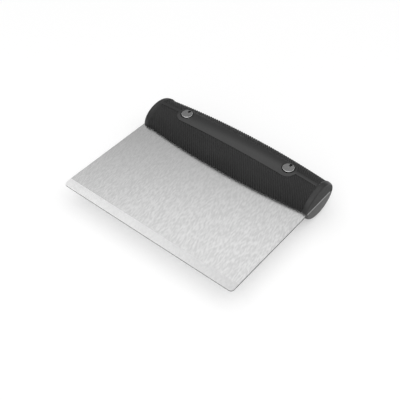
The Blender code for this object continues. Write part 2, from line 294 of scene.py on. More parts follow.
class NodeBoard:
    """A material's or world's nodes, laid out by short calls."""

    def __init__(self, owner: bpy.types.Material | bpy.types.World, shader: str, coordinates: str) -> None:
        """Take up the owner's node tree, its shader and the coordinates that its patterns read.

        Args:
            owner: A material or a world.
            shader: Name of its shader node.
            coordinates: Name of the coordinates.
        """
        self.owner = owner
        self.tree = owner.node_tree
        self.shader = self.tree.nodes[shader]
        self.coordinates = self.node("ShaderNodeTexCoord", coordinates)

    @classmethod
    def of_material(cls, name: str) -> "NodeBoard":
        """Start a material whose patterns read Object coordinates.

        Args:
            name: Name of the material.

        Returns:
            Its board.
        """
        material = bpy.data.materials.new(name)
        material.use_nodes = True
        return cls(material, "Principled BSDF", "Object")

    def put(self, target: Socket, value: object) -> None:
        """Feed a socket from another one, or set its constant value.

        Args:
            target: The socket.
            value: The other socket, or the constant.
        """
        if isinstance(value, Socket):
            self.tree.links.new(value, target)
        else:
            target.default_value = value

    def feed(self, name: str, value: object) -> None:
        """Feed one of the shader's own sockets, or set its constant value."""
        self.put(self.shader.inputs[name], value)

    def node(self, kind: str, output: str, *inputs: tuple[str | int, object], **settings: object) -> Socket:
        """Add a node and give back one of its outputs.

        Args:
            kind: Type of the node.
            output: Name of the output.
            inputs: Name or number of an input, with its source or its constant value.
            settings: Properties of the node.

        Returns:
            The output.
        """
        node = self.tree.nodes.new(kind)
        for name, value in settings.items():
            setattr(node, name, value)
        for name, value in inputs:
            self.put(node.inputs[name], value)
        return node.outputs[output]

    def maths(self, operation: str, first: Socket, second: Socket) -> Socket:
        """Join two values by one sum."""
        return self.node("ShaderNodeMath", "Value", (0, first), (1, second), operation=operation)

    def vectors(self, operation: str, first: Socket, second: Numbers) -> Socket:
        """Join a vector and a constant one by one sum."""
        return self.node("ShaderNodeVectorMath", "Vector", (0, first), (1, second), operation=operation)

    def length(self, vector: Socket) -> Socket:
        """Length of a vector."""
        return self.node("ShaderNodeVectorMath", "Value", (0, vector), operation="LENGTH")

    def axis(self, vector: Socket, name: str) -> Socket:
        """One of a vector's values, X, Y or Z."""
        return self.node("ShaderNodeSeparateXYZ", name, ("Vector", vector))

    def rays(self, *kinds: str) -> Socket:
        """1 for rays of any of these kinds, 0 for all others.

        Args:
            kinds: Names of the light path's outputs.

        Returns:
            The value.
        """
        path = self.tree.nodes.new("ShaderNodeLightPath")
        seen = path.outputs[kinds[0]]
        for kind in kinds[1:]:
            seen = self.maths("MAXIMUM", seen, path.outputs[kind])
        return seen

    def mapped(self, direction: str, place: Socket, change: str, value: Numbers) -> Socket:
        """Coordinates after one change of their mapping."""
        inputs = (("Vector", place), (change, value))
        return self.node("ShaderNodeMapping", "Vector", *inputs, vector_type=direction)

    def noise(self, scale: Numbers, detail: float, rough: float = 0.5, turn: float = 0.0) -> Socket:
        """Noise turned about Z and stretched on each axis, from about 0 to 1.

        Args:
            scale: Grains in a metre along each axis.
            detail: Finer levels that are added.
            rough: Strength of each finer level.
            turn: Turn about Z, in degrees.

        Returns:
            The value.
        """
        turned = self.mapped("TEXTURE", self.coordinates, "Rotation", (0, 0, math.radians(turn)))
        scaled = self.mapped("POINT", turned, "Scale", scale)
        grain = (("Scale", 1.0), ("Detail", detail), ("Roughness", rough))
        return self.node("ShaderNodeTexNoise", "Fac", ("Vector", scaled), *grain)

    def rings(self, centre: Numbers, count: float) -> Socket:
        """Noise that changes only with the distance from an upright axis, from about 0 to 1.

        Args:
            centre: Place of the axis in X and Y.
            count: Rings in a metre.

        Returns:
            The value.
        """
        shifted = self.vectors("SUBTRACT", self.coordinates, (*centre, 0.0))
        place = ("W", self.length(self.vectors("MULTIPLY", shifted, (count, count, 0.0))))
        grain = (("Scale", 1.0), ("Detail", 2.0))
        return self.node("ShaderNodeTexNoise", "Fac", place, *grain, noise_dimensions="1D")

    def spread(
        self, value: Socket, low: float, high: float, start: float = NOISE_LOW, stop: float = NOISE_HIGH
    ) -> Socket:
        """A value from start to stop, mapped to a range from low to high."""
        ends = (("From Min", start), ("From Max", stop), ("To Min", low), ("To Max", high))
        return self.node("ShaderNodeMapRange", "Result", ("Value", value), *ends)

    def blended(self, first: Socket, second: Socket, share: float) -> Socket:
        """Two noises added up, from 0 to 1, where the first has this share of the whole."""
        return self.maths("ADD", self.spread(first, 0.0, share), self.spread(second, 0.0, 1.0 - share))

    def toned(self, pattern: Socket, tone: float, depth: float) -> Socket:
        """Grey of a tone, which a pattern from 0 to 1 darkens and lightens by a share of it."""
        ends = (("A", grey(tone * (1 - depth))), ("B", grey(tone * (1 + depth))))
        return self.node("ShaderNodeMix", "Result", *ends, ("Factor", pattern), data_type="RGBA")

    def painted_reflection_along_x(self, colour: Socket, painted_reflection_falloff: float, reach: float) -> Socket:
        """A colour with a painted reflection: lighter at the left and duller at the right, by a share of it
        on each side of X = 0.
        """
        size = self.spread(self.axis(self.coordinates, "X"), 1 + painted_reflection_falloff, 1 - painted_reflection_falloff, -reach, reach)
        return self.node("ShaderNodeVectorMath", "Vector", (0, colour), ("Scale", size), operation="SCALE")

    def raise_surface(self, height: Socket, distance: float, strength: float) -> None:
        """Bend the shader's normal by a height map."""
        relief = (("Height", height), ("Distance", distance), ("Strength", strength))
        self.feed("Normal", self.node("ShaderNodeBump", "Normal", *relief))

    def show_mix(self, share: Socket, first: Socket, second: Socket) -> None:
        """Show a blend of two shaders.

        Args:
            share: Share of the second shader.
            first: The first shader.
            second: The second shader.
        """
        mix = self.node("ShaderNodeMixShader", "Shader", ("Fac", share), (1, first), (2, second))
        output = next(node for node in self.tree.nodes if node.type.startswith("OUTPUT"))
        self.put(output.inputs["Surface"], mix)


@dataclass(frozen=True, kw_only=True)
class Finish:
    """What every finish says of its surface.

    Attributes:
        tone: Mean linear brightness.
        tone_spread: Share by which the pattern changes it.
        roughness_spread: How far the pattern changes the roughness.
        relief: Depth of the pattern.
        metallic: 1 for metal, 0 for plastic.
    """

    name: str
    tone: float
    tone_spread: float
    roughness: float
    roughness_spread: float
    relief: float
    metallic: float = 1.0

    def lay_out(self, board: NodeBoard) -> None:
        """Lay out the pattern of the colour, the roughness and the relief."""
        raise NotImplementedError

    def material(self) -> bpy.types.Material:
        """Build the finish as a material.

        Returns:
            The material.
        """
        board = NodeBoard.of_material(self.name)
        self.lay_out(board)
        board.feed("Metallic", self.metallic)
        board.owner.diffuse_color = grey(self.tone)
        return board.owner


@dataclass(frozen=True, kw_only=True)
class BrushedSteel(Finish):
    """Steel sheet with short brush marks over finer hairlines.

    Attributes:
        marks_across: Brush marks in a metre across their run.
        marks_along: Brush marks in a metre along their run.
        marks_share: Share of the pattern that the marks have, where the hairlines have the rest.
        hair_fineness: Hairlines in the width of a mark.
        hair_length: Length of a hairline, in lengths of a mark.
        clouds: Broad cloudy patches in a metre.
        cloud_depth: How far the patches change the roughness.
        turn: Direction of the marks, in degrees from Y towards -X.
        painted_reflection_falloff: Share by which a painted reflection lightens the left end and dulls the
            right.
        reach: From the middle to either end of the painted reflection.
        reach: From the middle to either end of what is worn.
    """

    tone: float = 0.60
    tone_spread: float = 0.09
    roughness: float = 0.23
    roughness_spread: float = 0.03
    relief: float = 0.000004
    marks_across: float = 1300.0
    marks_along: float = 300.0
    marks_share: float = 0.7
    hair_fineness: float = 5.0
    hair_length: float = 2.0
    clouds: float = 40.0
    cloud_depth: float = 0.004
    turn: float = 11.0
    painted_reflection_falloff: float = 0.0
    reach: float = 0.0762

    def lay_out(self, board: NodeBoard) -> None:
        """Lay out the brush marks, the hairlines and any painted reflection along X.

        Args:
            board: Nodes of the material.
        """
        across, along = self.marks_across, self.marks_along
        marks = board.noise((across, along, across), 0.0, turn=self.turn)
        across, along = across * self.hair_fineness, along / self.hair_length
        hairs = board.noise((across, along, across), 1.0, turn=self.turn)
        both = board.blended(marks, hairs, self.marks_share)
        colour = board.toned(both, self.tone, self.tone_spread)
        # Painted reflection: the colour is made lighter at the left end and duller at the right, as the light
        # falls.
        if self.painted_reflection_falloff:
            colour = board.painted_reflection_along_x(colour, self.painted_reflection_falloff, self.reach)
        board.feed("Base Color", colour)
        low, high = self.roughness - self.cloud_depth, self.roughness + self.cloud_depth
        broad = board.spread(board.noise((self.clouds,) * 3, 2.0), low, high)
        fine = board.spread(both, self.roughness_spread, -self.roughness_spread, 0.0, 1.0)
        board.feed("Roughness", board.maths("ADD", fine, broad))
        board.raise_surface(both, self.relief, 0.5)


@dataclass(frozen=True, kw_only=True)
class TurnedSteel(Finish):
    """Dull steel with the fine rings that a lathe leaves around one axis.

    Attributes:
        centre: Place of the axis in X and Y.
        rings: Rings in a metre of radius.
        rings_share: Share of the pattern that the rings have, where the stains have the rest.
    """

    centre: tuple[float, float]
    tone: float = 0.25
    tone_spread: float = 0.28
    roughness: float = 0.44
    roughness_spread: float = 0.07
    relief: float = 0.00001
    rings: float = 3200.0
    rings_share: float = 0.6
    stains: float = 900.0

    def lay_out(self, board: NodeBoard) -> None:
        """Lay out the rings and the stains.

        Args:
            board: Nodes of the material.
        """
        rings = board.rings(self.centre, self.rings)
        both = board.blended(rings, board.noise((self.stains,) * 3, 3.0), self.rings_share)
        board.feed("Base Color", board.toned(both, self.tone, self.tone_spread))
        dull, bright = self.roughness + self.roughness_spread, self.roughness - self.roughness_spread
        board.feed("Roughness", board.spread(both, dull, bright, 0.0, 1.0))
        board.raise_surface(rings, self.relief, 0.5)


@dataclass(frozen=True, kw_only=True)
class MouldedPlastic(Finish):
    """Black moulded plastic with a fine spark-eroded grain.

    Attributes:
        specular: Level of its plain reflection, 0.5 for a common plastic.
        flow: Flow lines of the melt in a metre, along each axis.
    """

    specular: float
    tone_spread: float = 0.12
    roughness_spread: float = 0.04
    relief: float = 0.00002
    metallic: float = 0.0
    flow: Numbers = (22.0, 60.0, 60.0)
    grain: float = 2600.0

    def lay_out(self, board: NodeBoard) -> None:
        """Lay out the flow lines in the colour, and the grain.

        Args:
            board: Nodes of the material.
        """
        flow = board.spread(board.noise(self.flow, 2.0), 0.0, 1.0)
        board.feed("Base Color", board.toned(flow, self.tone, self.tone_spread))
        grain = board.noise((self.grain,) * 3, 3.0, 0.6)
        smooth, dull = self.roughness - self.roughness_spread, self.roughness + self.roughness_spread
        board.feed("Roughness", board.spread(grain, smooth, dull))
        board.raise_surface(grain, self.relief, 0.4)
        board.feed("Specular IOR Level", self.specular)


# Shapes that the pieces share


@dataclass(frozen=True)
class BarrelForm:
    """Outer form of the grip: a body turned about X, swollen in its middle, flattened in height.

    Attributes:
        half_width: From the middle of the grip to its end faces.
        centre_y: Where its axis lies.
        parting_z: Height of its axis, where the two halves meet.
        depth_middle: Front to back in its middle, over the ribs.
        depth_end: Front to back at its ends.
        thickness_middle: Height in its middle.
        rim_height: How far the smooth end rims stand over the ribs.
        band_height: How far the smooth band stands over the ribs.
    """

    half_width: float
    centre_y: float
    parting_z: float
    depth_middle: float = 0.0408
    depth_end: float = 0.0321
    thickness_middle: float = 0.0310
    rim_height: float = 0.0007
    band_height: float = 0.00033

    @property
    def flattening(self) -> float:
        """Share of its depth that the grip is high."""
        return self.thickness_middle / self.depth_middle

    def radius(self, x: float, offset: float = 0.0) -> float:
        """Half depth at x, over the ribs, plus an offset."""
        bulge = (self.depth_middle - self.depth_end) / 2
        return self.depth_end / 2 + bulge * (1 - (x / self.half_width) ** 2) + offset

    def place(self, obj: Piece) -> None:
        """Flatten a body turned about X and move it to the grip's axis.

        Args:
            obj: The body.
        """
        flatten = Matrix.Diagonal((1.0, 1.0, self.flattening, 1.0))
        obj.data.transform(Matrix.Translation((0.0, self.centre_y, self.parting_z)) @ flatten)
        obj.data.update()

    def swell(self, obj: Piece) -> None:
        """Swell a straight body, as deep as the grip's middle, into the barrel form.

        Args:
            obj: The body.
        """
        middle = self.radius(0.0)
        for vert in obj.data.vertices:
            size = self.radius(vert.co.x) / middle
            vert.co.y *= size
            vert.co.z *= size
        obj.data.update()

    def barrel(
        self, name: str, half_length: float, offset: float, spans: int = 36, sides: int = BARREL_SIDES
    ) -> Piece:
        """Plain barrel in its place.

        Args:
            name: Name of the new body.
            half_length: From its middle to its ends.
            offset: How far it is raised over the ribs, or sunk if below 0.
            spans: Spans from end to end.
            sides: Sides of its circle.

        Returns:
            The new body.
        """
        rings = []
        for index in range(spans + 1):
            x = half_length * (2 * index / spans - 1)
            rings.append((x, self.radius(x, offset)))
        obj = loft_along_x(name, rings, sides)
        self.place(obj)
        return obj

    def slab(self, name: str, ends: Numbers, y: float, half_depth: float) -> Piece:
        """Box through the grip's whole height, between two ends along X and to both sides of y.

        Args:
            name: Name of the new body.
            ends: The two ends.
            y: Middle of its depth.
            half_depth: Half of its depth.

        Returns:
            The new body.
        """
        low = (ends[0], y - half_depth, self.parting_z - self.depth_middle)
        high = (ends[1], y + half_depth, self.parting_z + self.depth_middle)
        return add_box(name, low, high)


@dataclass(frozen=True)
class FastenerSeat:
    """Where one binding fastener sits in the grip.

    Attributes:
        side: left or right.
        head_top: Height of the flat face of the barrel nut's head.
        screw_foot: Height of the flat face of the screw's head.
        head_radius: Radius of either head.
        bore_radius: Radius of the post's bore and of the hole for the screw.
        post_reach: How far the post reaches past the parting plane.
        clearance: Gap around the fastener.
    """

    side: str
    x: float
    y: float
    parting_z: float
    head_top: float
    screw_foot: float
    head_radius: float
    head_thickness: float = 0.0020
    post_radius: float = 0.0025
    bore_radius: float = 0.0020
    post_reach: float = 0.0050
    notch_width: float = 0.0020
    clearance: float = 0.0003

    def at(self, height: float) -> tuple[float, float, float]:
        """Point of the fastener's axis at a height."""
        return (self.x, self.y, height)


def dress(obj: Piece, finishes: Sequence[Finish], node: str) -> None:
    """Give a piece its materials and its place in the frame.

    Args:
        obj: The finished piece.
        finishes: Its finishes, in the order of its slots.
        node: The CAD node that it stands for.
    """
    obj.data.materials.clear()
    for finish in finishes:
        obj.data.materials.append(finish.material())
    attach(obj, "root")
    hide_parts(node)


# Pieces


class GripRegion(Enum):
    """Regions of the grip's surface, each numbered as the slot of its finish."""

    RIBS = 0
    BAND = 1
    RIM = 2


@dataclass
class RibbedGrip:
    """The two moulded halves of the grip, with their ribs, smooth band, rims and cells.

    Attributes:
        slot_low: Lowest corner of the slot for the blade, opposite slot_high.
        band_finish: Finish of the upper half's band and crest.
        rim_finish: Finish of the rims and of the lower half's band.
        rib_slant: Turn of the ribs from square across the grip, in degrees.
        rib_section: Section of one rib, in shares of its pitch and of the valley's depth.
        rim_foot: Share of the rim's slope at which it comes out of the ribs.
        rim_core: Radius of a rim's hidden inner end, as a share of that at its root.
        band_roundness: Radius of the band's ends, as a share of half its width.
        tang_land: Solid strip that the blade's rear edge is clamped on.
        seat_relief: Extra gap around the barrel nut's head.
        key_drop: From the head's face down to the top of the key in its notch.
        end_normal: X of a normal from which a face counts as part of a flat end.
    """

    form: BarrelForm
    seats: Sequence[FastenerSeat]
    slot_low: Numbers
    slot_high: Numbers
    ribbed_finish: MouldedPlastic
    band_finish: MouldedPlastic
    rim_finish: MouldedPlastic
    rib_pitch: float = 0.00195
    rib_slant: float = 39.3
    rib_depth: float = 0.00060
    rib_section: Pairs = ((0, 0), (0.30, 0), (0.42, 0.45), (0.55, 1), (0.73, 1), (0.86, 0.45), (1, 0))
    rib_sides: int = 96
    rim_width: float = 0.0041
    rim_slope: float = 0.0010
    rim_foot: float = 0.9
    rim_core: float = 0.6
    rim_spans: int = 5
    rim_rounding: float = 0.0015
    rounding_steps: int = 8
    band_width: float = 0.0140
    band_roundness: float = 0.9999
    band_steps: int = 24
    crest_width: float = 0.0030
    crest_height: float = 0.00030
    edge_softness: float = 0.00012
    shell_wall: float = 0.0030
    end_wall: float = 0.0060
    web: float = 0.0015
    cells_between_seats: int = 7
    boss_wall: float = 0.0015
    tang_land: float = 0.0030
    half_gap: float = 0.00015
    seat_relief: float = 0.00020
    key_drop: float = 0.0019
    end_normal: float = 0.99

    def ribs(self) -> Piece:
        """Barrel with fine ribs that lie in upright planes slanting across the grip.

        Returns:
            The new body.
        """
        straight = self.form.radius(0.0)
        slope = math.tan(math.radians(self.rib_slant))
        reach = self.form.half_width + straight * slope
        copies = math.ceil(2 * reach / self.rib_pitch)
        start = -copies * self.rib_pitch / 2
        section = [(x * self.rib_pitch, deep * self.rib_depth) for x, deep in self.rib_section]
        rings = [(start + x, straight - deep) for x, deep in section]
        obj = loft_along_x("ribbed_barrel", rings, self.rib_sides, capped=False)
        array = obj.modifiers.new("Ribs", "ARRAY")
        array.count = copies
        array.use_relative_offset = False
        array.use_constant_offset = True
        array.constant_offset_displace = (self.rib_pitch, 0.0, 0.0)
        array.use_merge_vertices = True
        array.merge_threshold = self.rib_pitch / 1000
        apply_modifiers(obj)
        slant = Matrix.Identity(4)
        slant[0][1] = -slope
        obj.data.transform(slant)
        end = self.form.half_width - self.rim_width / 2
        for side in (-1.0, 1.0):
            with edit_mode(obj):
                trim_beyond((side * end, 0, 0), (side, 0, 0))
        with edit_mode(obj):
            face_outwards()
        self.form.swell(obj)
        self.form.place(obj)
        return obj

    def rim(self, side: float) -> Piece:
        """Smooth raised rim at one end, rounded over to the flat end face.

        Args:
            side: -1 for the left end, 1 for the right.

        Returns:
            The new body.
        """
        form = self.form
        raised = form.rim_height
        shoulder = form.half_width - self.rim_width
        top = shoulder + raised / 2
        root = form.radius(shoulder) - 2 * raised
        rings = [
            (shoulder - self.rim_width, root * self.rim_core),
            (shoulder - self.rim_slope, root),
            (shoulder - self.rim_foot * self.rim_slope, form.radius(shoulder) - self.rib_depth / 2),
            (top, form.radius(shoulder, raised)),
        ]
        start = form.half_width - self.rim_rounding
        for index in range(1, self.rim_spans):
            x = top + (start - top) * index / self.rim_spans
            rings.append((x, form.radius(x, raised)))
        flat = form.radius(form.half_width, raised) - self.rim_rounding
        for index in range(self.rounding_steps + 1):
            angle = math.radians(90.0 * index / self.rounding_steps)
            x = start + self.rim_rounding * math.sin(angle)
            rings.append((x, flat + self.rim_rounding * math.cos(angle)))
        if side < 0:
            rings = [(-x, radius) for x, radius in reversed(rings)]
        obj = loft_along_x("rim", rings, BARREL_SIDES)
        form.place(obj)
        return obj

    def band(self) -> Piece:
        """Smooth raised band along the crown and the belly, round both fasteners.

        Returns:
            The new body.
        """
        half = self.band_width / 2
        ends = (self.seats[0].x - half, self.seats[-1].x + half)
        outline = self.form.slab("band_outline", ends, self.form.centre_y, half)
        with edit_mode(outline):
            select_edges(outline, lambda a, b: abs(a.z - b.z) > self.form.depth_middle)
            rounding = half * self.band_roundness
            bpy.ops.mesh.bevel(offset=rounding, segments=self.band_steps, affect="EDGES")
        return self.raised("band", self.form.half_width - self.rim_width, self.form.band_height, outline)

    def crest(self, side: float) -> Piece:
        """Thin smooth crest from the band's end to the rim, in line with the fasteners.

        Args:
            side: -1 for the left end, 1 for the right.

        Returns:
            The new body.
        """
        seat = self.seats[0] if side < 0 else self.seats[-1]
        reach = self.form.half_width - self.rim_width / 2
        ends = sorted((seat.x, side * reach))
        outline = self.form.slab("crest_outline", ends, seat.y, self.crest_width / 2)
        return self.raised("crest", reach, self.crest_height, outline)

    def raised(self, name: str, half_length: float, height: float, outline: Piece) -> Piece:
        """Smooth raised field with soft edges, inside an outline.

        Args:
            name: Name of the new body.
            half_length: From its middle to its ends.
            height: How far it stands over the ribs.
            outline: Body with the outline, which is used up.

        Returns:
            The new body.
        """
        obj = self.form.barrel(name, half_length, height)
        combine(obj, outline, Join.KEEP_COMMON)
        soften_edges(obj, self.edge_softness)
        return obj

    def hollow(self) -> Piece:
        """Cells that open on the clamped face, between webs and round bosses.

        Returns:
            The new body.
        """
        form = self.form
        inner = form.half_width - self.end_wall
        obj = form.barrel("cells", inner, -self.shell_wall, spans=18, sides=PLAIN_SIDES)
        reach = self.slot_high[1] - form.centre_y - self.tang_land
        ends = (-form.half_width, form.half_width)
        combine(obj, form.slab("cell_limits", ends, form.centre_y, reach), Join.KEEP_COMMON)
        combine(obj, form.slab("spine_web", ends, form.centre_y, self.web / 2), Join.CUT)
        pitch = (self.seats[-1].x - self.seats[0].x) / self.cells_between_seats
        outside = int((inner - self.seats[-1].x) / pitch)
        for index in range(-outside, self.cells_between_seats + outside + 1):
            x = self.seats[0].x + index * pitch
            ends = (x - self.web / 2, x + self.web / 2)
            combine(obj, form.slab("cross_web", ends, form.centre_y, form.depth_middle), Join.CUT)
        low, high = form.parting_z - form.depth_middle, form.parting_z + form.depth_middle
        for seat in self.seats:
            radius = seat.head_radius + seat.clearance + self.boss_wall
            combine(obj, add_post("boss", radius, seat.at(low), high), Join.CUT)
        return obj

    def key(self, seat: FastenerSeat) -> Piece:
        """Moulded key that stands in the notch of the head and stops the barrel nut turning.

        Args:
            seat: Where the fastener sits.

        Returns:
            The new body.
        """
        half = seat.notch_width / 2 - seat.clearance
        inner = seat.y + seat.post_radius + 2 * seat.clearance + half
        outer = seat.y + seat.head_radius + 2 * half
        bottom = seat.head_top - seat.head_thickness - 2 * seat.clearance
        top = seat.head_top - self.key_drop
        key = add_box("key", (seat.x - half, inner, bottom), (seat.x + half, outer, top))
        nose = add_post("key_nose", half, (seat.x, inner, bottom), top, NOTCH_SIDES)
        combine(key, nose, Join.ADD)
        return key

    def cut_seat(self, obj: Piece, seat: FastenerSeat) -> None:
        """Cut one fastener's counterbores and holes from the grip, around its key.

        Args:
            obj: The grip.
            seat: Where the fastener sits.
        """
        low, high = seat.parting_z - self.form.depth_middle, seat.parting_z + self.form.depth_middle
        wide = seat.head_radius + seat.clearance
        floor = seat.head_top - seat.head_thickness - seat.clearance
        ceiling = seat.screw_foot + seat.head_thickness + seat.clearance
        post_end = seat.parting_z - seat.post_reach - seat.clearance
        upper = add_post("counterbore", wide + self.seat_relief, seat.at(floor), high, POST_SIDES)
        combine(upper, self.key(seat), Join.CUT)
        combine(obj, upper, Join.CUT)
        spaces = (
            (wide, low, ceiling),
            (seat.post_radius + seat.clearance, post_end, floor + seat.clearance),
            (seat.bore_radius, low, seat.parting_z),
        )
        for radius, foot, top in spaces:
            combine(obj, add_post("seat_space", radius, seat.at(foot), top, POST_SIDES), Join.CUT)

    def region(self, place: Vector) -> GripRegion:
        """Region of the grip's surface at this place, where the left crest is as matt as the ribs.

        Args:
            place: Middle of a face.

        Returns:
            Its region.
        """
        form = self.form
        if abs(place.x) > form.half_width - self.rim_width:
            return GripRegion.RIM
        across = math.hypot(place.y - form.centre_y, (place.z - form.parting_z) / form.flattening)
        raised = across > form.radius(place.x, form.band_height / 4)
        left_crest = place.x < self.seats[0].x - self.band_width / 2
        return GripRegion.BAND if raised and not left_crest else GripRegion.RIBS

    def half(self, whole: Piece, name: str, node: str, side: float, band_finish: MouldedPlastic) -> Piece:
        """Cut one half from a copy of the whole grip, and dress it.

        Args:
            whole: Both halves in one body.
            name: Name of the half.
            node: The CAD node that it stands for.
            side: 1 for the upper half, -1 for the lower.
            band_finish: Finish of its band.

        Returns:
            The half.
        """
        half = whole.copy()
        half.data = whole.data.copy()
        bpy.context.collection.objects.link(half)
        half.name = name
        wide = 2 * self.form.half_width
        levels = sorted((self.form.parting_z + side * self.half_gap, self.form.parting_z - side * wide))
        low = (-wide, self.form.centre_y - wide, levels[0])
        high = (wide, self.form.centre_y + wide, levels[1])
        combine(half, add_box("other_half", low, high), Join.CUT)
        shade(half, angle=38.0)
        dress(half, (self.ribbed_finish, band_finish, self.rim_finish), node)
        for face in half.data.polygons:
            matt_end = side > 0 and abs(face.normal.x) > self.end_normal
            region = GripRegion.RIBS if matt_end else self.region(face.center)
            face.material_index = region.value
        return half

    def build(self) -> list[Piece]:
        """Model the upper and the lower half, dress them and ride them on the frame.

        Returns:
            The two halves.
        """
        whole = self.ribs()
        for side in (-1.0, 1.0):
            combine(whole, self.rim(side), Join.ADD)
            combine(whole, self.crest(side), Join.ADD)
        combine(whole, self.band(), Join.ADD)
        combine(whole, add_box("blade_slot", self.slot_low, self.slot_high), Join.CUT)
        combine(whole, self.hollow(), Join.CUT)
        for seat in self.seats:
            self.cut_seat(whole, seat)
        halves = [
            self.half(whole, "grip_top_half", "upper_grip", 1.0, self.band_finish),
            self.half(whole, "grip_bottom_half", "lower_grip", -1.0, self.rim_finish),
        ]
        bpy.data.objects.remove(whole)
        return halves


class SheetSide(Enum):
    """Sides of the blade's surface, each numbered as the slot of its finish."""

    FLAT = 0
    GROUND = 1
    CUT = 2
    KEPT = 3


@dataclass
class ScraperBlade:
    """Steel blade with a ground scraping edge and a hole for each fastener.

    Attributes:
        finish: Finish of the sheet.
        ground_finish: Finish of the ground strip along the edge.
        cut_finish: Finish of the sheet's cut edges.
        covered_edge_finish: Finish of the cut edges from covered_from back, lighter than the exposed ones.
        covered_from: Where along Y the grip starts to cover the sheet.
        edge_thickness: Thickness that is left at the scraping edge.
        flat_normal: Z of a normal from which a face counts as part of a flat side.
    """

    low: Vector
    high: Vector
    seats: Sequence[FastenerSeat]
    finish: BrushedSteel
    ground_finish: BrushedSteel
    cut_finish: BrushedSteel
    covered_edge_finish: BrushedSteel
    covered_from: float
    ground_width: float = 0.0070
    edge_thickness: float = 0.0006
    front_corner: float = 0.0026
    rear_corner: float = 0.0020
    corner_steps: int = 8
    edge_softness: float = 0.00010
    flat_normal: float = 0.9

    def build(self) -> Piece:
        """Model the blade, dress it and ride it on the frame.

        Returns:
            The dressed piece.
        """
        low, high = self.low, self.high
        thickness = high.z - low.z
        slope = math.atan2(thickness - self.edge_thickness, self.ground_width)
        blade = add_box("scraper_blade", low, high)
        with edit_mode(blade):
            for side, radius in ((-1.0, self.front_corner), (1.0, self.rear_corner)):
                select_edges(blade, lambda a, b: abs(a.z - b.z) > thickness / 2 and a.y * side > 0)
                bpy.ops.mesh.bevel(offset=radius, segments=self.corner_steps, affect="EDGES")
            upward = (0.0, -math.sin(slope), math.cos(slope))
            trim_beyond((0.0, low.y + self.ground_width, high.z), upward)
            bpy.ops.mesh.select_all(action="SELECT")
            bpy.ops.mesh.bisect(plane_co=(0.0, self.covered_from, 0.0), plane_no=(0.0, 1.0, 0.0))
        for seat in self.seats:
            radius = seat.post_radius + seat.clearance
            hole = add_post("fastener_hole", radius, seat.at(low.z - thickness), high.z + thickness)
            combine(blade, hole, Join.CUT)
        soften_edges(blade, self.edge_softness, angle=50.0)
        shade(blade, angle=20.0)
        finishes = (self.finish, self.ground_finish, self.cut_finish, self.covered_edge_finish)
        dress(blade, finishes, "blade")
        for face in blade.data.polygons:
            if abs(face.normal.z) < self.flat_normal:
                side = SheetSide.KEPT if face.center.y > self.covered_from else SheetSide.CUT
            elif face.normal.z > 0 and face.normal.y < -math.sin(slope) / 2:
                side = SheetSide.GROUND
            else:
                side = SheetSide.FLAT
            face.material_index = side.value
        return blade


class HeadRegion(Enum):
    """Regions of a barrel nut's surface, each numbered as the slot of its finish."""

    FACE = 0
    RIM = 1


@dataclass
class BarrelNut:
    """Binding fastener's upper part: a notched flat head on a hollow threaded post.

    Attributes:
        face_finish: Finish of the turned faces.
        rim_finish: Finish of the head's rim, lighter than its face: a painted glint.
        edge_wear: How much smaller the worn head is in radius than its seat says.
        post_cap: Thickness of the post's closed end, under the head.
    """

    seat: FastenerSeat
    face_finish: TurnedSteel
    rim_finish: TurnedSteel
    chamfer: float = 0.00025
    edge_wear: float = 0.00015
    notch_depth: float = 0.0030
    post_cap: float = 0.0010
    edge_softness: float = 0.00008

    def notch(self, radius: float, bottom: float) -> Piece:
        """Round-ended notch, cut in from the rim of a head of this radius.

        Args:
            radius: Radius of the head.
            bottom: Height of its underside.

        Returns:
            The new body.
        """
        seat = self.seat
        half = seat.notch_width / 2
        inner = seat.y + radius - self.notch_depth + half
        outer = seat.y + 2 * seat.head_radius
        top = seat.head_top + half
        notch = add_box("notch", (seat.x - half, inner, bottom), (seat.x + half, outer, top))
        combine(notch, add_post("notch_end", half, (seat.x, inner, bottom), top, NOTCH_SIDES), Join.ADD)
        return notch

    def build(self) -> Piece:
        """Model the barrel nut, dress it and ride it on the frame.

        Returns:
            The dressed piece.
        """
        seat, top = self.seat, self.seat.head_top
        bottom = top - seat.head_thickness
        radius = seat.head_radius - self.edge_wear
        nut = add_post(f"binding_nut_{seat.side}", radius, seat.at(bottom), top, BARREL_SIDES)
        with edit_mode(nut):
            select_edges(nut, lambda a, b: min(a.z, b.z) > top - self.edge_softness)
            bpy.ops.mesh.bevel(offset=self.chamfer, segments=3, affect="EDGES")
        foot = seat.at(seat.parting_z - seat.post_reach)
        combine(nut, add_post("post", seat.post_radius, foot, bottom + seat.clearance, POST_SIDES), Join.ADD)
        foot = seat.at(seat.parting_z - 2 * seat.post_reach)
        combine(nut, add_post("bore", seat.bore_radius, foot, bottom - self.post_cap, POST_SIDES), Join.CUT)
        combine(nut, self.notch(radius, bottom), Join.CUT)
        soften_edges(nut, self.edge_softness, angle=50.0)
        shade(nut, angle=10.0)
        dress(nut, (self.face_finish, self.rim_finish), f"barrel_nut_{seat.side}")
        # The rim's slot gets a lighter finish: a painted glint along the head's edge.
        for face in nut.data.polygons:
            from_axis = math.hypot(face.center.x - seat.x, face.center.y - seat.y)
            region = HeadRegion.RIM if from_axis > radius - self.chamfer else HeadRegion.FACE
            face.material_index = region.value
        return nut


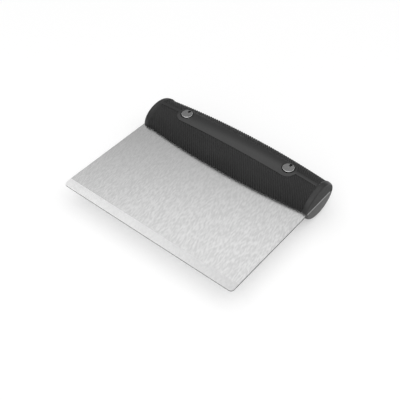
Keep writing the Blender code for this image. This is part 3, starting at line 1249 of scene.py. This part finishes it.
@dataclass
class BindingScrew:
    """Screw from below, with a cross recess in its head and a ridged shank.

    Attributes:
        thread_flank: Share of the pitch over which a ridge rises.
        thread_crest: Share of the pitch over which a ridge is flat.
        drive_taper: Size of the recess's floor, as a share of its mouth.
    """

    seat: FastenerSeat
    finish: TurnedSteel
    chamfer: float = 0.0004
    shank_length: float = 0.0100
    thread_pitch: float = 0.0007
    thread_height: float = 0.00015
    thread_flank: float = 0.4
    thread_crest: float = 0.1
    drive_length: float = 0.0044
    drive_width: float = 0.0011
    drive_depth: float = 0.0012
    drive_taper: float = 0.65

    def rings(self) -> Pairs:
        """Height over the head's outer face and radius of every ring, up to the tip.

        Returns:
            The rings.
        """
        head, shank = self.seat.head_radius, self.seat.bore_radius - self.seat.clearance
        neck = self.seat.head_thickness
        tip = neck + self.shank_length
        rings = [(0.0, head - self.chamfer), (self.chamfer, head), (neck, head), (neck, shank)]
        height = neck + self.thread_pitch
        while height + self.thread_pitch < tip - self.chamfer:
            crest = height + self.thread_flank * self.thread_pitch
            rings.append((height, shank))
            rings.append((crest, shank + self.thread_height))
            rings.append((crest + self.thread_crest * self.thread_pitch, shank + self.thread_height))
            height += self.thread_pitch
        rings += [(height, shank), (tip - self.chamfer, shank), (tip, shank - self.chamfer)]
        return rings

    def drive_slot(self, half_x: float, half_y: float) -> Piece:
        """One arm of the cross recess, which narrows towards its floor.

        Args:
            half_x: Half of its length along X.
            half_y: Half of its length along Y.

        Returns:
            The new body.
        """
        seat, low = self.seat, self.seat.screw_foot
        floor = low + self.drive_depth
        corner = (seat.x - half_x, seat.y - half_y, low - self.drive_depth)
        slot = add_box("drive_slot", corner, (seat.x + half_x, seat.y + half_y, floor))
        with edit_mode(slot):
            select_edges(slot, lambda a, b: min(a.z, b.z) > low)
            size = (self.drive_taper, self.drive_taper, 1.0)
            bpy.ops.transform.resize(value=size, center_override=seat.at(floor))
        return slot

    def build(self) -> Piece:
        """Model the screw, dress it and ride it on the frame.

        Returns:
            The dressed piece.
        """
        seat = self.seat
        screw = loft_along_x(f"binding_screw_{seat.side}", self.rings(), PLAIN_SIDES)
        upright = Matrix.Rotation(math.radians(-90.0), 4, "Y")
        screw.data.transform(Matrix.Translation(seat.at(seat.screw_foot)) @ upright)
        long, wide = self.drive_length / 2, self.drive_width / 2
        combine(screw, self.drive_slot(long, wide), Join.CUT)
        combine(screw, self.drive_slot(wide, long), Join.CUT)
        shade(screw, angle=30.0)
        dress(screw, (self.finish,), f"screw_{seat.side}")
        return screw


def put_up(name: str, data: bpy.types.ID, place: Numbers, direction: Vector) -> Piece:
    """Add a camera or a lamp to the scene, turned to look in a direction.

    Args:
        name: Its name.
        data: The camera or lamp.
        place: Where it stands.
        direction: Where it looks.

    Returns:
        The new object.
    """
    obj = bpy.data.objects.new(name, data)
    bpy.context.scene.collection.objects.link(obj)
    obj.location = place
    obj.rotation_euler = direction.to_track_quat("-Z", "Y").to_euler()
    return obj


@dataclass
class Studio:
    """Pale floor, soft light and the camera at the photograph's viewing angle.

    Attributes:
        azimuth: Camera's turn from -Y towards +X, in degrees.
        elevation: Camera's height over the floor, in degrees.
        lens: Focal length in millimetres.
        sensor: Width of the sensor in millimetres.
        sky: Height in the sky, as a share from horizon to crown, and brightness there.
        horizon_height: Height in the sky up to which metal and glass mirror the white backdrop.
        shadow_fill: Share by which the seen floor is lit even where the tool shades it.
        floor_level: Level of that light, at which only the open floor reaches white.
        clearing: Distances from the middle at which the floor starts to turn white, and is white.
    """

    aim: Numbers = (0.00551, -0.00649, 0.00909)
    azimuth: float = 39.32
    elevation: float = 46.16
    distance: float = 0.5436
    lens: float = 68.2
    sensor: float = 36.0
    sky: Pairs = (
        (0.00, 0.20), (0.30, 0.20), (0.44, 0.25), (0.55, 0.38), (0.64, 0.48),
        (0.71, 0.76), (0.77, 1.35), (0.83, 1.25), (0.90, 1.15), (1.00, 1.15),
    )
    horizon_height: float = 0.03
    floor_size: float = 8.0
    floor_tone: float = 0.97
    shadow_fill: float = 0.34
    floor_level: float = 1.25
    clearing: tuple[float, float] = (0.5, 1.2)

    def camera(self) -> None:
        """Add the camera, looking down on the blade's right front corner."""
        turn, lift = math.radians(self.azimuth), math.radians(self.elevation)
        back = Vector((math.sin(turn) * math.cos(lift), -math.cos(turn) * math.cos(lift), math.sin(lift)))
        data = bpy.data.cameras.new("camera")
        data.lens = self.lens
        data.sensor_width = self.sensor
        data.clip_start = 0.01
        bpy.context.scene.camera = put_up("camera", data, Vector(self.aim) + self.distance * back, -back)

    def floor(self) -> None:
        """Add the white floor that the tool lies on, which keeps a light shadow of it."""
        deselect_all()
        bpy.ops.mesh.primitive_plane_add(size=self.floor_size, location=(0, 0, 0))
        floor = settle("floor")
        board = NodeBoard.of_material("pale_floor")
        board.feed("Base Color", grey(self.floor_tone))
        board.feed("Roughness", 1.0)
        board.feed("Specular IOR Level", 0.0)
        white = board.node("ShaderNodeEmission", "Emission", ("Strength", self.floor_level))
        seen = board.rays("Is Camera Ray", "Is Glossy Ray", "Is Transmission Ray")
        fill = board.spread(board.length(board.coordinates), self.shadow_fill, 1.0, *self.clearing)
        share = board.maths("MULTIPLY", seen, fill)
        board.show_mix(share, board.shader.outputs["BSDF"], white)
        floor.data.materials.append(board.owner)

    def world(self) -> None:
        """Soft sky, dim near the horizon and bright overhead, in front of which the camera sees white."""
        world = bpy.data.worlds.new("studio")
        bpy.context.scene.world = world
        world.use_nodes = True
        board = NodeBoard(world, "Background", "Generated")
        unit = board.node("ShaderNodeVectorMath", "Vector", (0, board.coordinates), operation="NORMALIZE")
        height = board.axis(unit, "Z")
        brightest = max(level for _, level in self.sky)
        ramp = board.node("ShaderNodeValToRGB", "Color", ("Fac", height))
        stops = ramp.node.color_ramp.elements
        while len(stops) < len(self.sky):
            stops.new(1.0)
        for stop, (place, level) in zip(stops, self.sky):
            stop.position = place
            stop.color = grey(level / brightest)
        board.feed("Color", ramp)
        board.feed("Strength", brightest)
        mirrored = board.rays("Is Glossy Ray", "Is Transmission Ray")
        horizon = board.spread(height, 1.0, 0.0, 0.0, self.horizon_height)
        seen = board.maths("MAXIMUM", board.rays("Is Camera Ray"), board.maths("MULTIPLY", mirrored, horizon))
        backdrop = board.node("ShaderNodeBackground", "Background", ("Color", grey(1.0)), ("Strength", 1.0))
        board.show_mix(seen, board.shader.outputs["Background"], backdrop)

    def softbox(self, name: str, size: float, power: float, place: Numbers) -> None:
        """Add a square area lamp that faces the middle of the scene.

        Args:
            name: Its name.
            size: Length of its sides.
            power: Power in watts.
            place: Where its middle is.
        """
        data = bpy.data.lights.new(name, "AREA")
        data.shape = "SQUARE"
        data.size = size
        data.energy = power
        put_up(name, data, place, -Vector(place))

    def build(self) -> None:
        """Set up the whole studio."""
        self.camera()
        self.floor()
        self.world()
        self.softbox("front", size=1.3, power=4.8, place=(0.32, -0.98, 0.74))
        self.softbox("right", size=1.3, power=1.25, place=(0.88, 0.30, 0.86))
        bpy.context.scene.view_settings.view_transform = "Standard"


def fastener_seats(parting_z: float) -> list[FastenerSeat]:
    """Read both fasteners' places and sizes from their CAD nodes.

    Args:
        parting_z: Height of the parting plane.

    Returns:
        The left and the right one.
    """
    seats = []
    for side in ("left", "right"):
        low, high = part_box(f"screw_{side}")
        head_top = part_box(f"barrel_nut_{side}")[1].z
        x, y = (low.x + high.x) / 2, (low.y + high.y) / 2
        radius = (high.x - low.x) / 2
        seats.append(FastenerSeat(side, x, y, parting_z, head_top, low.z, radius))
    return seats


def main() -> None:
    """Build the tool's pieces in order, then the studio around them."""
    logging.basicConfig(level=logging.INFO, format="%(name)s: %(message)s")
    blade_low, blade_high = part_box("blade")
    parting_z = (blade_low.z + blade_high.z) / 2
    half_width = blade_high.x
    grip_low, grip_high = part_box("upper_grip")
    grip_y = (grip_low.y + grip_high.y) / 2
    form = BarrelForm(half_width, grip_y, parting_z)
    seats = fastener_seats(parting_z)
    grip = RibbedGrip(
        form=form,
        seats=seats,
        slot_low=(-2 * half_width, blade_low.y - half_width, blade_low.z - SLOT_PLAY),
        slot_high=(2 * half_width, blade_high.y + SLOT_PLAY, blade_high.z + SLOT_PLAY),
        ribbed_finish=MouldedPlastic(name="ribbed_black_plastic", tone=0.040, roughness=0.60, specular=0.16),
        band_finish=MouldedPlastic(name="band_black_plastic", tone=0.026, roughness=0.30, specular=0.50),
        rim_finish=MouldedPlastic(name="rim_black_plastic", tone=0.026, roughness=0.40, specular=0.42),
    )
    pieces = grip.build()
    blade = ScraperBlade(
        low=blade_low,
        high=blade_high,
        seats=seats,
        finish=BrushedSteel(name="brushed_blade_steel"),
        ground_finish=BrushedSteel(
            name="ground_edge_steel",
            tone=0.726,
            roughness=0.32,
            marks_across=2600.0,
            marks_along=500.0,
            # Painted reflection on the ground strip, lighter at its left end than at its right
            painted_reflection_falloff=0.164,
        ),
        cut_finish=BrushedSteel(name="cut_edge_steel", tone=0.06, roughness=0.50, marks_along=1500.0),
        covered_edge_finish=BrushedSteel(name="covered_edge_steel", tone=0.32, roughness=0.45, marks_along=1500.0),
        covered_from=form.centre_y - form.radius(half_width),
    )
    pieces.append(blade.build())
    for seat in seats:
        axis = (seat.x, seat.y)
        face = TurnedSteel(name=f"turned_head_{seat.side}", centre=axis)
        # A much lighter tone on the head's rim is a painted glint.
        rim = TurnedSteel(name=f"painted_glint_rim_{seat.side}", centre=axis, tone=0.62, roughness=0.24)
        plain = TurnedSteel(name=f"screw_steel_{seat.side}", centre=axis, tone=0.42)
        pieces.append(BarrelNut(seat, face, rim).build())
        pieces.append(BindingScrew(seat, plain).build())
    for piece in pieces:
        LOG.info("%s: %d faces", piece.name, len(piece.data.polygons))
    Studio().build()


if __name__ == "__main__":
    main()
